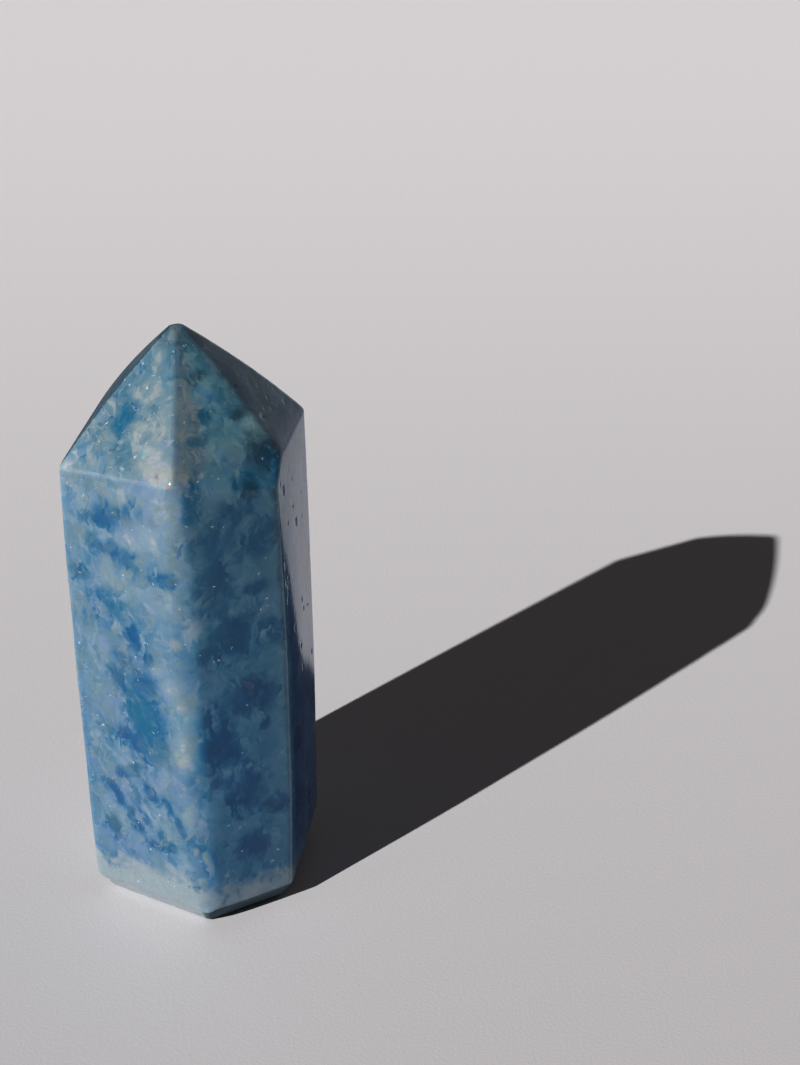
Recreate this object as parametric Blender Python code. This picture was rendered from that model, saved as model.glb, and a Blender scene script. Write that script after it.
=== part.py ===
"""A polished six-sided stone point that stands on its own sawn base.

The stone is one solid. A rough block is ground away by one plane for each flat face, its
edges are rubbed round, its faces are bowed out a little as hand polishing leaves them, and a
few chips and pits are taken out of it.

Metres, +Z up the point. The base lies on z = 0, and the origin is the middle of the
bounding box's bottom.
"""

import math
from collections import namedtuple

import bmesh
import bpy
from mathutils import Matrix, Vector, geometry, noise

MM = 0.001
UP = Vector((0.0, 0.0, 1.0))

# The tip's faces meet at the apex, which is ground off level at the stone's full height.
HEIGHT = 79.6 * MM
APEX = Vector((-1.1 * MM, 0.0, 80.1 * MM))
ROUGH_BLOCK = 200.0 * MM

# One flat shaft face: the way it faces in degrees from +X towards +Y, its distance from the
# axis at the base, its lean in degrees (positive leans inwards on the way up), and the
# height of the shoulder corner that it shares with the face before it.
ShaftFace = namedtuple("ShaftFace", "azimuth distance lean shoulder")
SHAFT_FACES = {
    "front_left": ShaftFace(240.3, 13.60 * MM, -0.40, 64.5 * MM),
    "front_right": ShaftFace(299.0, 13.65 * MM, 0.60, 66.0 * MM),
    "right": ShaftFace(351.4, 12.30 * MM, 0.30, 65.6 * MM),
    "back_right": ShaftFace(55.2, 13.60 * MM, -0.60, 64.1 * MM),
    "back_left": ShaftFace(117.0, 12.90 * MM, 0.30, 64.9 * MM),
    "left": ShaftFace(166.2, 13.00 * MM, -0.32, 65.5 * MM),
}
FACES = tuple(SHAFT_FACES.values())

# The small slope ground round the foot.
FOOT_RISE = 2.9 * MM
FOOT_RUN = 1.7 * MM

# Edge rounding: the front edge is rubbed round, the shaft's other edges less, and the rest
# stay crisp.
EDGE_ROUNDING = 1.8 * MM
SHAFT_SHARE = 0.40
CRISP_SHARE = 0.22
EDGE_SEGMENTS = 3

# How far the polished surface stands out from the straight-ground planes.
SHAFT_BOW = 0.28 * MM
BELLY = 0.42 * MM
BELLY_AZIMUTH = 320.0
TIP_BOW = 0.58 * MM
FACE_CROWN = 0.18 * MM
WAVE_DEPTH = 0.07 * MM
WAVE_LENGTH = 14.0 * MM

FACET_SIZE = 2.6 * MM
SMALLEST_EDGE = 0.04 * MM

# Chips on the edges and pits in the faces: the height and the direction in degrees at which
# a line towards the axis meets the stone, then length, width, depth, and the turn in
# degrees of the length away from the vertical.
Mark = namedtuple("Mark", "height azimuth length width depth turn")
MARKS = {
    "shoulder_nick": Mark(65.0 * MM, 322.0, 2.2 * MM, 1.2 * MM, 0.35 * MM, 60.0),
    "upper_chip": Mark(61.6 * MM, 319.5, 2.6 * MM, 1.0 * MM, 0.35 * MM, 5.0),
    "middle_chip": Mark(56.0 * MM, 319.0, 3.2 * MM, 0.9 * MM, 0.30 * MM, -4.0),
    "lower_chip": Mark(50.2 * MM, 318.5, 2.0 * MM, 0.9 * MM, 0.30 * MM, 3.0),
    "right_pit_high": Mark(60.3 * MM, 333.0, 1.7 * MM, 0.7 * MM, 0.30 * MM, 8.0),
    "right_pit_low": Mark(47.5 * MM, 330.0, 2.2 * MM, 0.7 * MM, 0.30 * MM, -6.0),
    "right_pit_far": Mark(52.8 * MM, 356.0, 1.5 * MM, 0.7 * MM, 0.30 * MM, 10.0),
    "tip_pit_right": Mark(68.6 * MM, 345.0, 1.8 * MM, 0.9 * MM, 0.35 * MM, 20.0),
    "tip_pit_high": Mark(72.6 * MM, 340.0, 1.5 * MM, 0.8 * MM, 0.30 * MM, 30.0),
    "back_pit": Mark(38.0 * MM, 62.0, 1.9 * MM, 0.8 * MM, 0.35 * MM, -12.0),
    "back_chip": Mark(64.6 * MM, 79.0, 2.0 * MM, 1.1 * MM, 0.35 * MM, 75.0),
    "foot_chip": Mark(1.6 * MM, 205.0, 2.6 * MM, 1.3 * MM, 0.35 * MM, 80.0),
}
MARK_ROUNDNESS = 2

STONE_COLOUR = (0.16, 0.33, 0.52, 1.0)
STONE_ROUGHNESS = 0.22
SMOOTH_ANGLE = math.radians(22.0)


def clear_scene():
    """Removes every object, so that the part is alone."""
    for thing in list(bpy.data.objects):
        bpy.data.objects.remove(thing, do_unlink=True)


def outward(azimuth):
    """The level direction at an azimuth in degrees."""
    turn = math.radians(azimuth)
    return Vector((math.cos(turn), math.sin(turn), 0.0))


def shaft_plane(face):
    """A point on a shaft face, and the face's normal."""
    across = outward(face.azimuth)
    return across * face.distance, (across + UP * math.tan(math.radians(face.lean))).normalized()


def edge_point(before, after, height):
    """Where two neighbouring shaft faces meet, at a height."""
    point, along = geometry.intersect_plane_plane(*shaft_plane(before), *shaft_plane(after))
    return point + along * ((height - point.z) / along.z)


def shoulder_corners():
    """The six corners between shaft and tip; each opens its face, going round from above."""
    return [edge_point(FACES[i - 1], face, face.shoulder) for i, face in enumerate(FACES)]


def grind(bm, point, normal):
    """Takes away all that lies in front of a plane, and closes the cut with one flat face."""
    parts = bm.verts[:] + bm.edges[:] + bm.faces[:]
    bmesh.ops.bisect_plane(bm, geom=parts, plane_co=point, plane_no=normal, clear_outer=True)
    bmesh.ops.holes_fill(bm, edges=[edge for edge in bm.edges if edge.is_boundary], sides=0)


def grind_shaft(bm):
    for face in FACES:
        grind(bm, *shaft_plane(face))


def grind_tip(bm):
    corners = shoulder_corners()
    for start, end in zip(corners, corners[1:] + corners[:1]):
        grind(bm, start, (end - start).cross(APEX - start).normalized())
    grind(bm, UP * HEIGHT, UP)


def grind_foot(bm):
    for face in FACES:
        across = outward(face.azimuth)
        slope = (across * FOOT_RISE - UP * FOOT_RUN).normalized()
        grind(bm, across * face.distance + UP * FOOT_RISE, slope)
    grind(bm, Vector(), -UP)


def mark_edge_rounding(bm):
    """Gives each edge its share of the rounding: the front edge of the shaft takes it all."""
    share = bm.edges.layers.float.new("bevel_weight_edge")
    upright = []
    for edge in bm.edges:
        edge[share] = CRISP_SHARE
        if abs(edge.verts[0].co.z - edge.verts[1].co.z) > HEIGHT / 2:
            edge[share] = SHAFT_SHARE
            upright.append(edge)
    front = min(upright, key=lambda edge: edge.verts[0].co.y + edge.verts[1].co.y)
    front[share] = 1.0


def ground_block():
    """The stone as flat grinding leaves it, with rounded edges, as a bmesh."""
    bm = bmesh.new()
    bmesh.ops.create_cube(bm, size=ROUGH_BLOCK)
    grind_shaft(bm)
    grind_tip(bm)
    grind_foot(bm)
    bmesh.ops.recalc_face_normals(bm, faces=bm.faces)
    mark_edge_rounding(bm)
    block = object_from(bm, "ground_block")
    rounding = block.modifiers.new("edge_rounding", "BEVEL")
    rounding.limit_method = "WEIGHT"
    rounding.width = EDGE_ROUNDING
    rounding.segments = EDGE_SEGMENTS
    bm = bmesh.new()
    bm.from_object(block, bpy.context.evaluated_depsgraph_get())
    bpy.data.objects.remove(block)
    return bm


def slice_evenly(bm, direction, reach):
    """Cuts all faces by parallel planes one facet apart, so that they can be bowed."""
    steps = round(reach / FACET_SIZE)
    for step in range(-steps, steps + 1):
        parts = bm.verts[:] + bm.edges[:] + bm.faces[:]
        middle = (step + 0.5) * FACET_SIZE
        bmesh.ops.bisect_plane(bm, geom=parts, plane_co=direction * middle, plane_no=direction)


def nearest_face(point):
    """The index of the shaft face that a point lies on or nearest to."""
    def inset(face):
        on_face, normal = shaft_plane(face)
        return normal.dot(on_face - point)
    return min(range(len(FACES)), key=lambda index: inset(FACES[index]))


def crown(point):
    """How far a shaft face stands out between its two edges."""
    index = nearest_face(point)
    start = edge_point(FACES[index - 1], FACES[index], point.z)
    end = edge_point(FACES[index], FACES[(index + 1) % len(FACES)], point.z)
    half = (end - start) / 2
    share = (point - start - half).dot(half) / half.length_squared
    return FACE_CROWN * max(0.0, 1.0 - share * share)


def arch(share):
    """Nought at both ends of a run, and one in its middle."""
    return max(0.0, 4.0 * share * (1.0 - share))


def polish(bm):
    """Bows the shaft and the tip outwards and lays a faint wave over them; the base stays flat."""
    shoulder = sum(face.shoulder for face in FACES) / len(FACES)
    for vert in bm.verts:
        point = vert.co.copy()
        level = Vector((point.x, point.y, 0.0))
        if point.z < SMALLEST_EDGE or level.length < SMALLEST_EDGE:
            continue
        if point.z < shoulder:
            rise = arch(point.z / shoulder)
            towards_belly = max(0.0, level.normalized().dot(outward(BELLY_AZIMUTH)))
            push = (SHAFT_BOW + BELLY * towards_belly**4) * rise + crown(point) * math.sqrt(rise)
        else:
            push = TIP_BOW * arch((point.z - shoulder) / (HEIGHT - shoulder))
        settle = min(1.0, point.z / FOOT_RISE)
        push += WAVE_DEPTH * noise.noise(point / WAVE_LENGTH) * settle
        vert.co = point + level.normalized() * push


def centre_on_base(bm):
    """Moves the stone level, so that the middle of its bounding box is on the Z axis."""
    for axis in (0, 1):
        places = [vert.co[axis] for vert in bm.verts]
        middle = (min(places) + max(places)) / 2
        for vert in bm.verts:
            vert.co[axis] -= middle


def object_from(bm, name):
    """A new object in the scene that holds the bmesh's shape."""
    mesh = bpy.data.meshes.new(name)
    bm.to_mesh(mesh)
    bm.free()
    thing = bpy.data.objects.new(name, mesh)
    bpy.context.scene.collection.objects.link(thing)
    bpy.context.view_layer.update()
    return thing


def stone_material():
    """Blue stone, polished."""
    material = bpy.data.materials.new("polished_blue_stone")
    material.use_nodes = True
    shader = material.node_tree.nodes["Principled BSDF"]
    shader.inputs["Base Color"].default_value = STONE_COLOUR
    shader.inputs["Roughness"].default_value = STONE_ROUGHNESS
    shader.inputs["Metallic"].default_value = 0.0
    return material


def add_mark(bm, stone, mark):
    """One lens-shaped cutter, half sunk in the stone where the mark's line meets it."""
    across = outward(mark.azimuth)
    start = across * HEIGHT + UP * mark.height
    hit, place, normal, _ = stone.ray_cast(start, -across)
    if not hit:
        raise ValueError("a mark's line misses the stone")
    side = UP.cross(normal).normalized()
    frame = Matrix((side, normal.cross(side), normal)).transposed().to_4x4()
    size = Matrix.Diagonal((mark.width / 2, mark.length / 2, mark.depth, 1.0))
    turn = Matrix.Rotation(math.radians(mark.turn), 4, "Z")
    where = Matrix.Translation(place) @ frame @ turn @ size
    bmesh.ops.create_icosphere(bm, subdivisions=MARK_ROUNDNESS, radius=1.0, matrix=where)


def cut_marks(stone):
    """Takes the chips and pits out of the stone with one hidden cutter."""
    bm = bmesh.new()
    for mark in MARKS.values():
        add_mark(bm, stone, mark)
    cutter = object_from(bm, "mark_cutter")
    cutter.hide_render = True
    cutter.display_type = "WIRE"
    cut = stone.modifiers.new("chips_and_pits", "BOOLEAN")
    cut.operation = "DIFFERENCE"
    cut.solver = "EXACT"
    cut.object = cutter


def stone_point():
    """The whole stone."""
    bm = ground_block()
    slice_evenly(bm, UP, HEIGHT)
    slice_evenly(bm, Vector((1.0, 0.0, 0.0)), HEIGHT / 4)
    slice_evenly(bm, Vector((0.0, 1.0, 0.0)), HEIGHT / 4)
    bmesh.ops.remove_doubles(bm, verts=bm.verts, dist=SMALLEST_EDGE)
    bmesh.ops.triangulate(bm, faces=bm.faces)
    polish(bm)
    centre_on_base(bm)
    bmesh.ops.recalc_face_normals(bm, faces=bm.faces)
    stone = object_from(bm, "stone_point")
    stone.data.materials.append(stone_material())
    stone.data.shade_smooth()
    stone.data.set_sharp_from_angle(angle=SMOOTH_ANGLE)
    cut_marks(stone)
    return stone


def main():
    clear_scene()
    stone_point()


if __name__ == "__main__":
    main()
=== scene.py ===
"""A polished blue stone point that stands on a pale studio floor, laid out as an add-on.

The stone is one piece. It is ground from a block by one plane for each flat face, its edges
are rubbed round, and its faces are bowed, chipped and pitted. Its colours come from layered
procedural patterns and from clouds and patches that are listed round the stone.
"""

import math
import random
from collections import namedtuple

import bmesh
import bpy
import numpy as np
from bpy.props import FloatProperty, FloatVectorProperty, PointerProperty
from mathutils import Matrix, Vector, geometry, noise


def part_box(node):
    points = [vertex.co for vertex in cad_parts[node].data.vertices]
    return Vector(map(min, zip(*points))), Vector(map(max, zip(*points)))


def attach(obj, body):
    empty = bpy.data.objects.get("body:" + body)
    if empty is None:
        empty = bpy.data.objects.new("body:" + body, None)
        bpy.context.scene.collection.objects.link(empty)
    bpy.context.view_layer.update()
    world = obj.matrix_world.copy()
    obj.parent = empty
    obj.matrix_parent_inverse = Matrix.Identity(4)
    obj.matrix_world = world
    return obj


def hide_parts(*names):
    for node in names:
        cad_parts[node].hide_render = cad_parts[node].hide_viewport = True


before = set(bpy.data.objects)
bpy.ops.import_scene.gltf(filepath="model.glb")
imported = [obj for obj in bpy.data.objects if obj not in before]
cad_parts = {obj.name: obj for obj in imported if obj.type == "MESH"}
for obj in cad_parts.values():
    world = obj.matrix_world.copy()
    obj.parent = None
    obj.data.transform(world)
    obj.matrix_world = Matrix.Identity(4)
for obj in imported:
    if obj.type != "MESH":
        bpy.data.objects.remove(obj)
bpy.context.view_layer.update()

bl_info = {
    "name": "Polished stone point",
    "version": (1, 0, 0),
    "blender": (4, 5, 0),
    "location": "3D View > Sidebar > Stone point",
    "description": "Grinds, polishes and colours a six-sided stone point, and sets its stage",
    "category": "Object",
}

MM = 0.001
UP = Vector((0.0, 0.0, 1.0))
NODE = "stone_point"
LOWEST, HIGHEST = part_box(NODE)
HEIGHT = HIGHEST.z

# The stone as it is ground. It lies within half a millimetre of the solid, except at the tip's
# face that dips, and its front edge is rounder.
# A face has its azimuth in degrees, its distance from the axis, its lean inwards in degrees, the
# shoulder at which its first corner meets the tip, and its dip: how much lower the tip's face
# above it ends at the next corner.
ShaftFace = namedtuple("ShaftFace", "azimuth distance lean shoulder dip")
FACES = (
    ShaftFace(240.3, 13.60 * MM, -0.40, 64.5 * MM, 0.0),
    ShaftFace(299.0, 13.65 * MM, 0.60, 66.0 * MM, 2.8 * MM),
    ShaftFace(349.9, 12.12 * MM, 0.12, 65.2 * MM, 0.0),
    ShaftFace(55.2, 13.60 * MM, -0.60, 64.1 * MM, 0.0),
    ShaftFace(117.0, 12.90 * MM, 0.30, 64.9 * MM, 0.0),
    ShaftFace(166.2, 13.00 * MM, -0.32, 65.5 * MM, 0.0),
)
APEX = Vector((-1.1 * MM, 0.0, 80.6 * MM))
SHOULDER = sum(face.shoulder for face in FACES) / len(FACES)
ROUGH_BLOCK = 200.0 * MM
FOOT_RISE = 2.9 * MM
FOOT_RUN = 1.7 * MM
# The front edge is rubbed round the most. The others have shares of its rounding: the shaft's
# edges, the tip's ridge that faces the soft azimuth, and all that are left crisp.
EDGE_ROUNDING = 2.7 * MM
SHAFT_SHARE = 0.20
SOFT_SHARE = 0.4
SOFT_RIDGE = 325.0
CRISP_SHARE = 0.10
TIP_FOOT = 60.0 * MM
# How far the faces are bowed outwards: the shaft's, more where its belly is, the tip's, and the
# middle of each shaft face. A faint wave covers all of it, with a finer one at the front edge.
SHAFT_BOW = 0.28 * MM
BELLY = 0.42 * MM
BELLY_AZIMUTH = 320.0
TIP_BOW = 0.58 * MM
FACE_CROWN = 0.18 * MM
WAVE_DEPTH = 0.07 * MM
WAVE_LENGTH = 14.0 * MM
RIPPLE_DEPTH = 0.16 * MM
RIPPLE_LENGTH = 4.4 * MM


def tone(red, green, blue):
    """A colour given as it looks on a screen, 0 to 255, as the linear values that shaders use."""
    def linear(value):
        share = value / 255.0
        return share / 12.92 if share <= 0.04045 else ((share + 0.055) / 1.055) ** 2.4
    return (linear(red), linear(green), linear(blue), 1.0)


def outward(azimuth):
    """The level direction at an azimuth in degrees."""
    turn = math.radians(azimuth)
    return Vector((math.cos(turn), math.sin(turn), 0.0))


def start_clean():
    """Leaves edit mode with nothing selected."""
    if bpy.context.mode != "OBJECT":
        bpy.ops.object.mode_set(mode="OBJECT")
    bpy.ops.object.select_all(action="DESELECT")


# ---------------------------------------------------------------- the stone's shape

def shaft_plane(face):
    """A point on a shaft face, and the face's normal."""
    across = outward(face.azimuth)
    return across * face.distance, (across + UP * math.tan(math.radians(face.lean))).normalized()


def edge_point(before, after, height):
    """Where two neighbouring shaft faces meet, at a height."""
    point, along = geometry.intersect_plane_plane(*shaft_plane(before), *shaft_plane(after))
    return point + along * ((height - point.z) / along.z)


def grind(point, normal):
    """Cuts off what lies in front of a plane, and closes the cut with one flat face."""
    bpy.ops.mesh.select_all(action="SELECT")
    bpy.ops.mesh.bisect(plane_co=point, plane_no=normal, use_fill=True, clear_outer=True)


def grind_shaft_and_tip():
    """Grinds the six faces of the shaft, the six of the tip and the small flat on its top."""
    corners = [edge_point(FACES[i - 1], face, face.shoulder) for i, face in enumerate(FACES)]
    for face in FACES:
        grind(*shaft_plane(face))
    for face, start, after in zip(FACES, corners, corners[1:] + corners[:1]):
        end = after - UP * face.dip
        grind(start, (end - start).cross(APEX - start).normalized())
    grind(UP * HEIGHT, UP)


def grind_foot():
    """Grinds the small slope round the foot, and the flat base."""
    for face in FACES:
        across = outward(face.azimuth)
        slope = (across * FOOT_RISE - UP * FOOT_RUN).normalized()
        grind(across * face.distance + UP * FOOT_RISE, slope)
    grind(Vector(), -UP)


def weigh_edges(stone):
    """Gives each edge its share of the rounding: the front edge of the shaft takes it all."""
    bm = bmesh.from_edit_mesh(stone.data)
    share = bm.edges.layers.float.new("bevel_weight_edge")
    upright = []
    for edge in bm.edges:
        edge[share] = CRISP_SHARE
        if abs(edge.verts[0].co.z - edge.verts[1].co.z) > HEIGHT / 2:
            edge[share] = SHAFT_SHARE
            upright.append(edge)
    front = min(upright, key=lambda edge: edge.verts[0].co.y + edge.verts[1].co.y)
    front[share] = 1.0
    ridges = [edge for edge in bm.edges if min(vert.co.z for vert in edge.verts) > TIP_FOOT
              and max(vert.co.z for vert in edge.verts) > HEIGHT - 1.0 * MM
              and abs(edge.verts[0].co.z - edge.verts[1].co.z) > 5.0 * MM]
    right = outward(SOFT_RIDGE)
    soft = max(ridges, key=lambda edge: (edge.verts[0].co + edge.verts[1].co).dot(right))
    soft[share] = SOFT_SHARE
    bmesh.update_edit_mesh(stone.data)


def add_modifier(stone, kind, **settings):
    """Adds a modifier with its settings, and applies it."""
    modifier = stone.modifiers.new(kind.lower(), kind)
    for name, value in settings.items():
        setattr(modifier, name, value)
    bpy.ops.object.modifier_apply(modifier=modifier.name)


def ground_block(grain):
    """The stone as grinding leaves it, with rounded edges, as an even mesh of small squares."""
    start_clean()
    bpy.ops.mesh.primitive_cube_add(size=ROUGH_BLOCK)
    stone = bpy.context.object
    stone.name = stone.data.name = "polished_stone"
    bpy.ops.object.mode_set(mode="EDIT")
    grind_shaft_and_tip()
    grind_foot()
    weigh_edges(stone)
    bpy.ops.object.mode_set(mode="OBJECT")
    add_modifier(stone, "BEVEL", limit_method="WEIGHT", width=EDGE_ROUNDING, segments=8)
    add_modifier(stone, "REMESH", mode="VOXEL", voxel_size=grain)
    add_modifier(stone, "SMOOTH", factor=0.5, iterations=2)
    return stone


def places(mesh):
    """Every vertex's place, one row each."""
    flat = np.empty(len(mesh.vertices) * 3, np.float32)
    mesh.vertices.foreach_get("co", flat)
    return flat.reshape(-1, 3).astype(float)


def put_places(mesh, points):
    """Moves every vertex to its new place."""
    mesh.vertices.foreach_set("co", points.astype(np.float32).ravel())
    mesh.update()


def normals(mesh):
    """Every vertex's normal, one row each."""
    flat = np.empty(len(mesh.vertices) * 3, np.float32)
    mesh.vertex_normals.foreach_get("vector", flat)
    return flat.reshape(-1, 3).astype(float)


def face_numbers(points):
    """The shaft face that each point lies on or nearest to."""
    insets = []
    for face in FACES:
        on_face, normal = shaft_plane(face)
        insets.append((np.array(on_face) - points) @ np.array(normal))
    return np.argmin(insets, axis=0)


def crowns(points):
    """How far each shaft face stands out between its two edges."""
    numbers = face_numbers(points)
    rise = np.zeros(len(points))
    for number, face in enumerate(FACES):
        mine = numbers == number
        after = FACES[(number + 1) % len(FACES)]
        ends = []
        for before, behind in ((FACES[number - 1], face), (face, after)):
            low = np.array(edge_point(before, behind, 0.0))
            high = np.array(edge_point(before, behind, HEIGHT))
            ends.append(low + (high - low) * (points[mine, 2:] / HEIGHT))
        half = (ends[1] - ends[0]) / 2
        share = ((points[mine] - ends[0] - half) * half).sum(1) / (half * half).sum(1)
        rise[mine] = FACE_CROWN * np.maximum(0.0, 1.0 - share * share)
    return rise


def shoulders(points):
    """The height at which the shaft ends and the tip starts, at each point's azimuth."""
    corners = [edge_point(FACES[i - 1], face, face.shoulder) for i, face in enumerate(FACES)]
    azimuths = [math.degrees(math.atan2(corner.y, corner.x)) for corner in corners]
    around = np.degrees(np.arctan2(points[:, 1], points[:, 0]))
    return np.interp(around, azimuths, [corner.z for corner in corners], period=360.0)


def arch(share):
    """Nought at both ends of a run, and one in its middle."""
    return np.maximum(0.0, 4.0 * share * (1.0 - share))


def waves(points, length):
    """Smooth noise of one wave length at each point."""
    return np.array([noise.noise(Vector(point) / length) for point in points])


def bow(mesh):
    """Bows the shaft and the tip outwards, lays a faint wave over them, and centres the stone.

    The base stays flat. What it returns is how far the stone was moved to its centre.
    """
    points = places(mesh)
    level = points * (1.0, 1.0, 0.0)
    across = level / np.maximum(np.linalg.norm(level, axis=1, keepdims=True), 1e-6)
    height = points[:, 2]
    ends = shoulders(points)
    rise = np.where(height < ends, arch(height / ends), 0.0)
    tip_rise = np.where(height < ends, 0.0, arch((height - ends) / (HEIGHT - ends)))
    towards_belly = np.maximum(0.0, across @ np.array(outward(BELLY_AZIMUTH)))
    push = (SHAFT_BOW + BELLY * towards_belly**4) * rise
    push += crowns(points) * (1.0 - (1.0 - rise) ** 3)
    push += TIP_BOW * tip_rise
    firm = np.clip(height / FOOT_RISE, 0.0, 1.0)
    push += WAVE_DEPTH * waves(points, WAVE_LENGTH) * firm
    near_front = np.clip(5.0 * (across @ np.array((0.0, -1.0, 0.0))) - 4.2, 0.0, 1.0)
    push += RIPPLE_DEPTH * waves(points, RIPPLE_LENGTH) * firm * near_front
    points += across * push[:, None]
    centring = (np.array(LOWEST + HIGHEST) - points.min(0) - points.max(0)) / 2 * (1.0, 1.0, 0.0)
    put_places(mesh, points + centring)
    return centring


# A chip or a pit: how far round the stone from its front edge, in degrees to the right, and how
# high it lies, then its length, width, depth, and the turn in degrees away from upright.
Mark = namedtuple("Mark", "turn height length width depth lean")
FRONT = 270.0
LARGE_MARKS = (
    Mark(54.0, 64.2 * MM, 1.2 * MM, 0.7 * MM, 0.22 * MM, 20.0),
    Mark(50.5, 61.6 * MM, 2.0 * MM, 0.6 * MM, 0.20 * MM, 5.0),
    Mark(50.5, 56.0 * MM, 2.4 * MM, 0.5 * MM, 0.16 * MM, -4.0),
    Mark(50.0, 50.2 * MM, 1.6 * MM, 0.5 * MM, 0.16 * MM, 3.0),
    Mark(63.0, 60.3 * MM, 1.7 * MM, 0.7 * MM, 0.30 * MM, 8.0),
    Mark(60.0, 47.5 * MM, 2.2 * MM, 0.7 * MM, 0.30 * MM, -6.0),
    Mark(86.0, 52.8 * MM, 1.5 * MM, 0.7 * MM, 0.30 * MM, 10.0),
    Mark(75.0, 68.6 * MM, 1.3 * MM, 0.6 * MM, 0.22 * MM, 50.0),
    Mark(70.0, 72.6 * MM, 1.1 * MM, 0.5 * MM, 0.20 * MM, 60.0),
    Mark(152.0, 38.0 * MM, 1.9 * MM, 0.8 * MM, 0.35 * MM, -12.0),
    Mark(169.0, 64.6 * MM, 2.0 * MM, 1.1 * MM, 0.35 * MM, 75.0),
    Mark(-65.0, 1.6 * MM, 2.6 * MM, 1.3 * MM, 0.35 * MM, 80.0),
)


def small_marks():
    """Fine pits: many on the right-hand faces, few elsewhere, and a ragged edge beside them."""
    dice = random.Random(11)
    marks = []
    for _ in range(46):
        turn = dice.uniform(52.0, 118.0)
        size = dice.uniform(0.5, 1.0) * MM
        marks.append(Mark(turn, dice.uniform(4.0, 64.0) * MM, size, 0.5 * size, 0.15 * MM,
                          dice.uniform(-14.0, 14.0)))
    for _ in range(14):
        size = dice.uniform(0.4, 0.7) * MM
        marks.append(Mark(dice.uniform(84.0, 116.0), dice.uniform(66.0, 75.0) * MM, size,
                          0.6 * size, 0.14 * MM, dice.uniform(20.0, 60.0)))
    for _ in range(14):
        size = dice.uniform(0.5, 1.0) * MM
        marks.append(Mark(dice.uniform(49.0, 53.0), dice.uniform(38.0, 65.5) * MM, size,
                          0.6 * size, 0.12 * MM, dice.uniform(-25.0, 25.0)))
    for _ in range(60):
        size = dice.uniform(0.5, 1.1) * MM
        marks.append(Mark(dice.uniform(118.0, 300.0), dice.uniform(4.0, 76.0) * MM, size,
                          0.6 * size, 0.14 * MM, dice.uniform(-40.0, 40.0)))
    return marks


def carve(stone, marks):
    """Sinks every mark into the surface where its line towards the axis meets the stone."""
    points = places(stone.data)
    facing = normals(stone.data)
    moved = points.copy()
    for mark in marks:
        across = outward(FRONT + mark.turn)
        hit, place, normal, _ = stone.ray_cast(across * HEIGHT + UP * mark.height, -across)
        if not hit:
            raise ValueError("a mark's line misses the stone")
        side = UP.cross(normal).normalized()
        turned = Matrix.Rotation(math.radians(mark.lean), 3, normal)
        wide = np.array(turned @ side) / (mark.width / 2)
        long = np.array(turned @ normal.cross(side)) / (mark.length / 2)
        offset = points - np.array(place)
        near = np.hypot(offset @ wide, offset @ long)
        near += np.abs(offset @ np.array(normal)) / mark.length
        sunk = np.clip(1.0 - near * near, 0.0, 1.0) * mark.depth
        moved -= facing * sunk[:, None]
    moved[:, 2] = np.maximum(moved[:, 2], 0.0)
    put_places(stone.data, moved)
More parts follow.
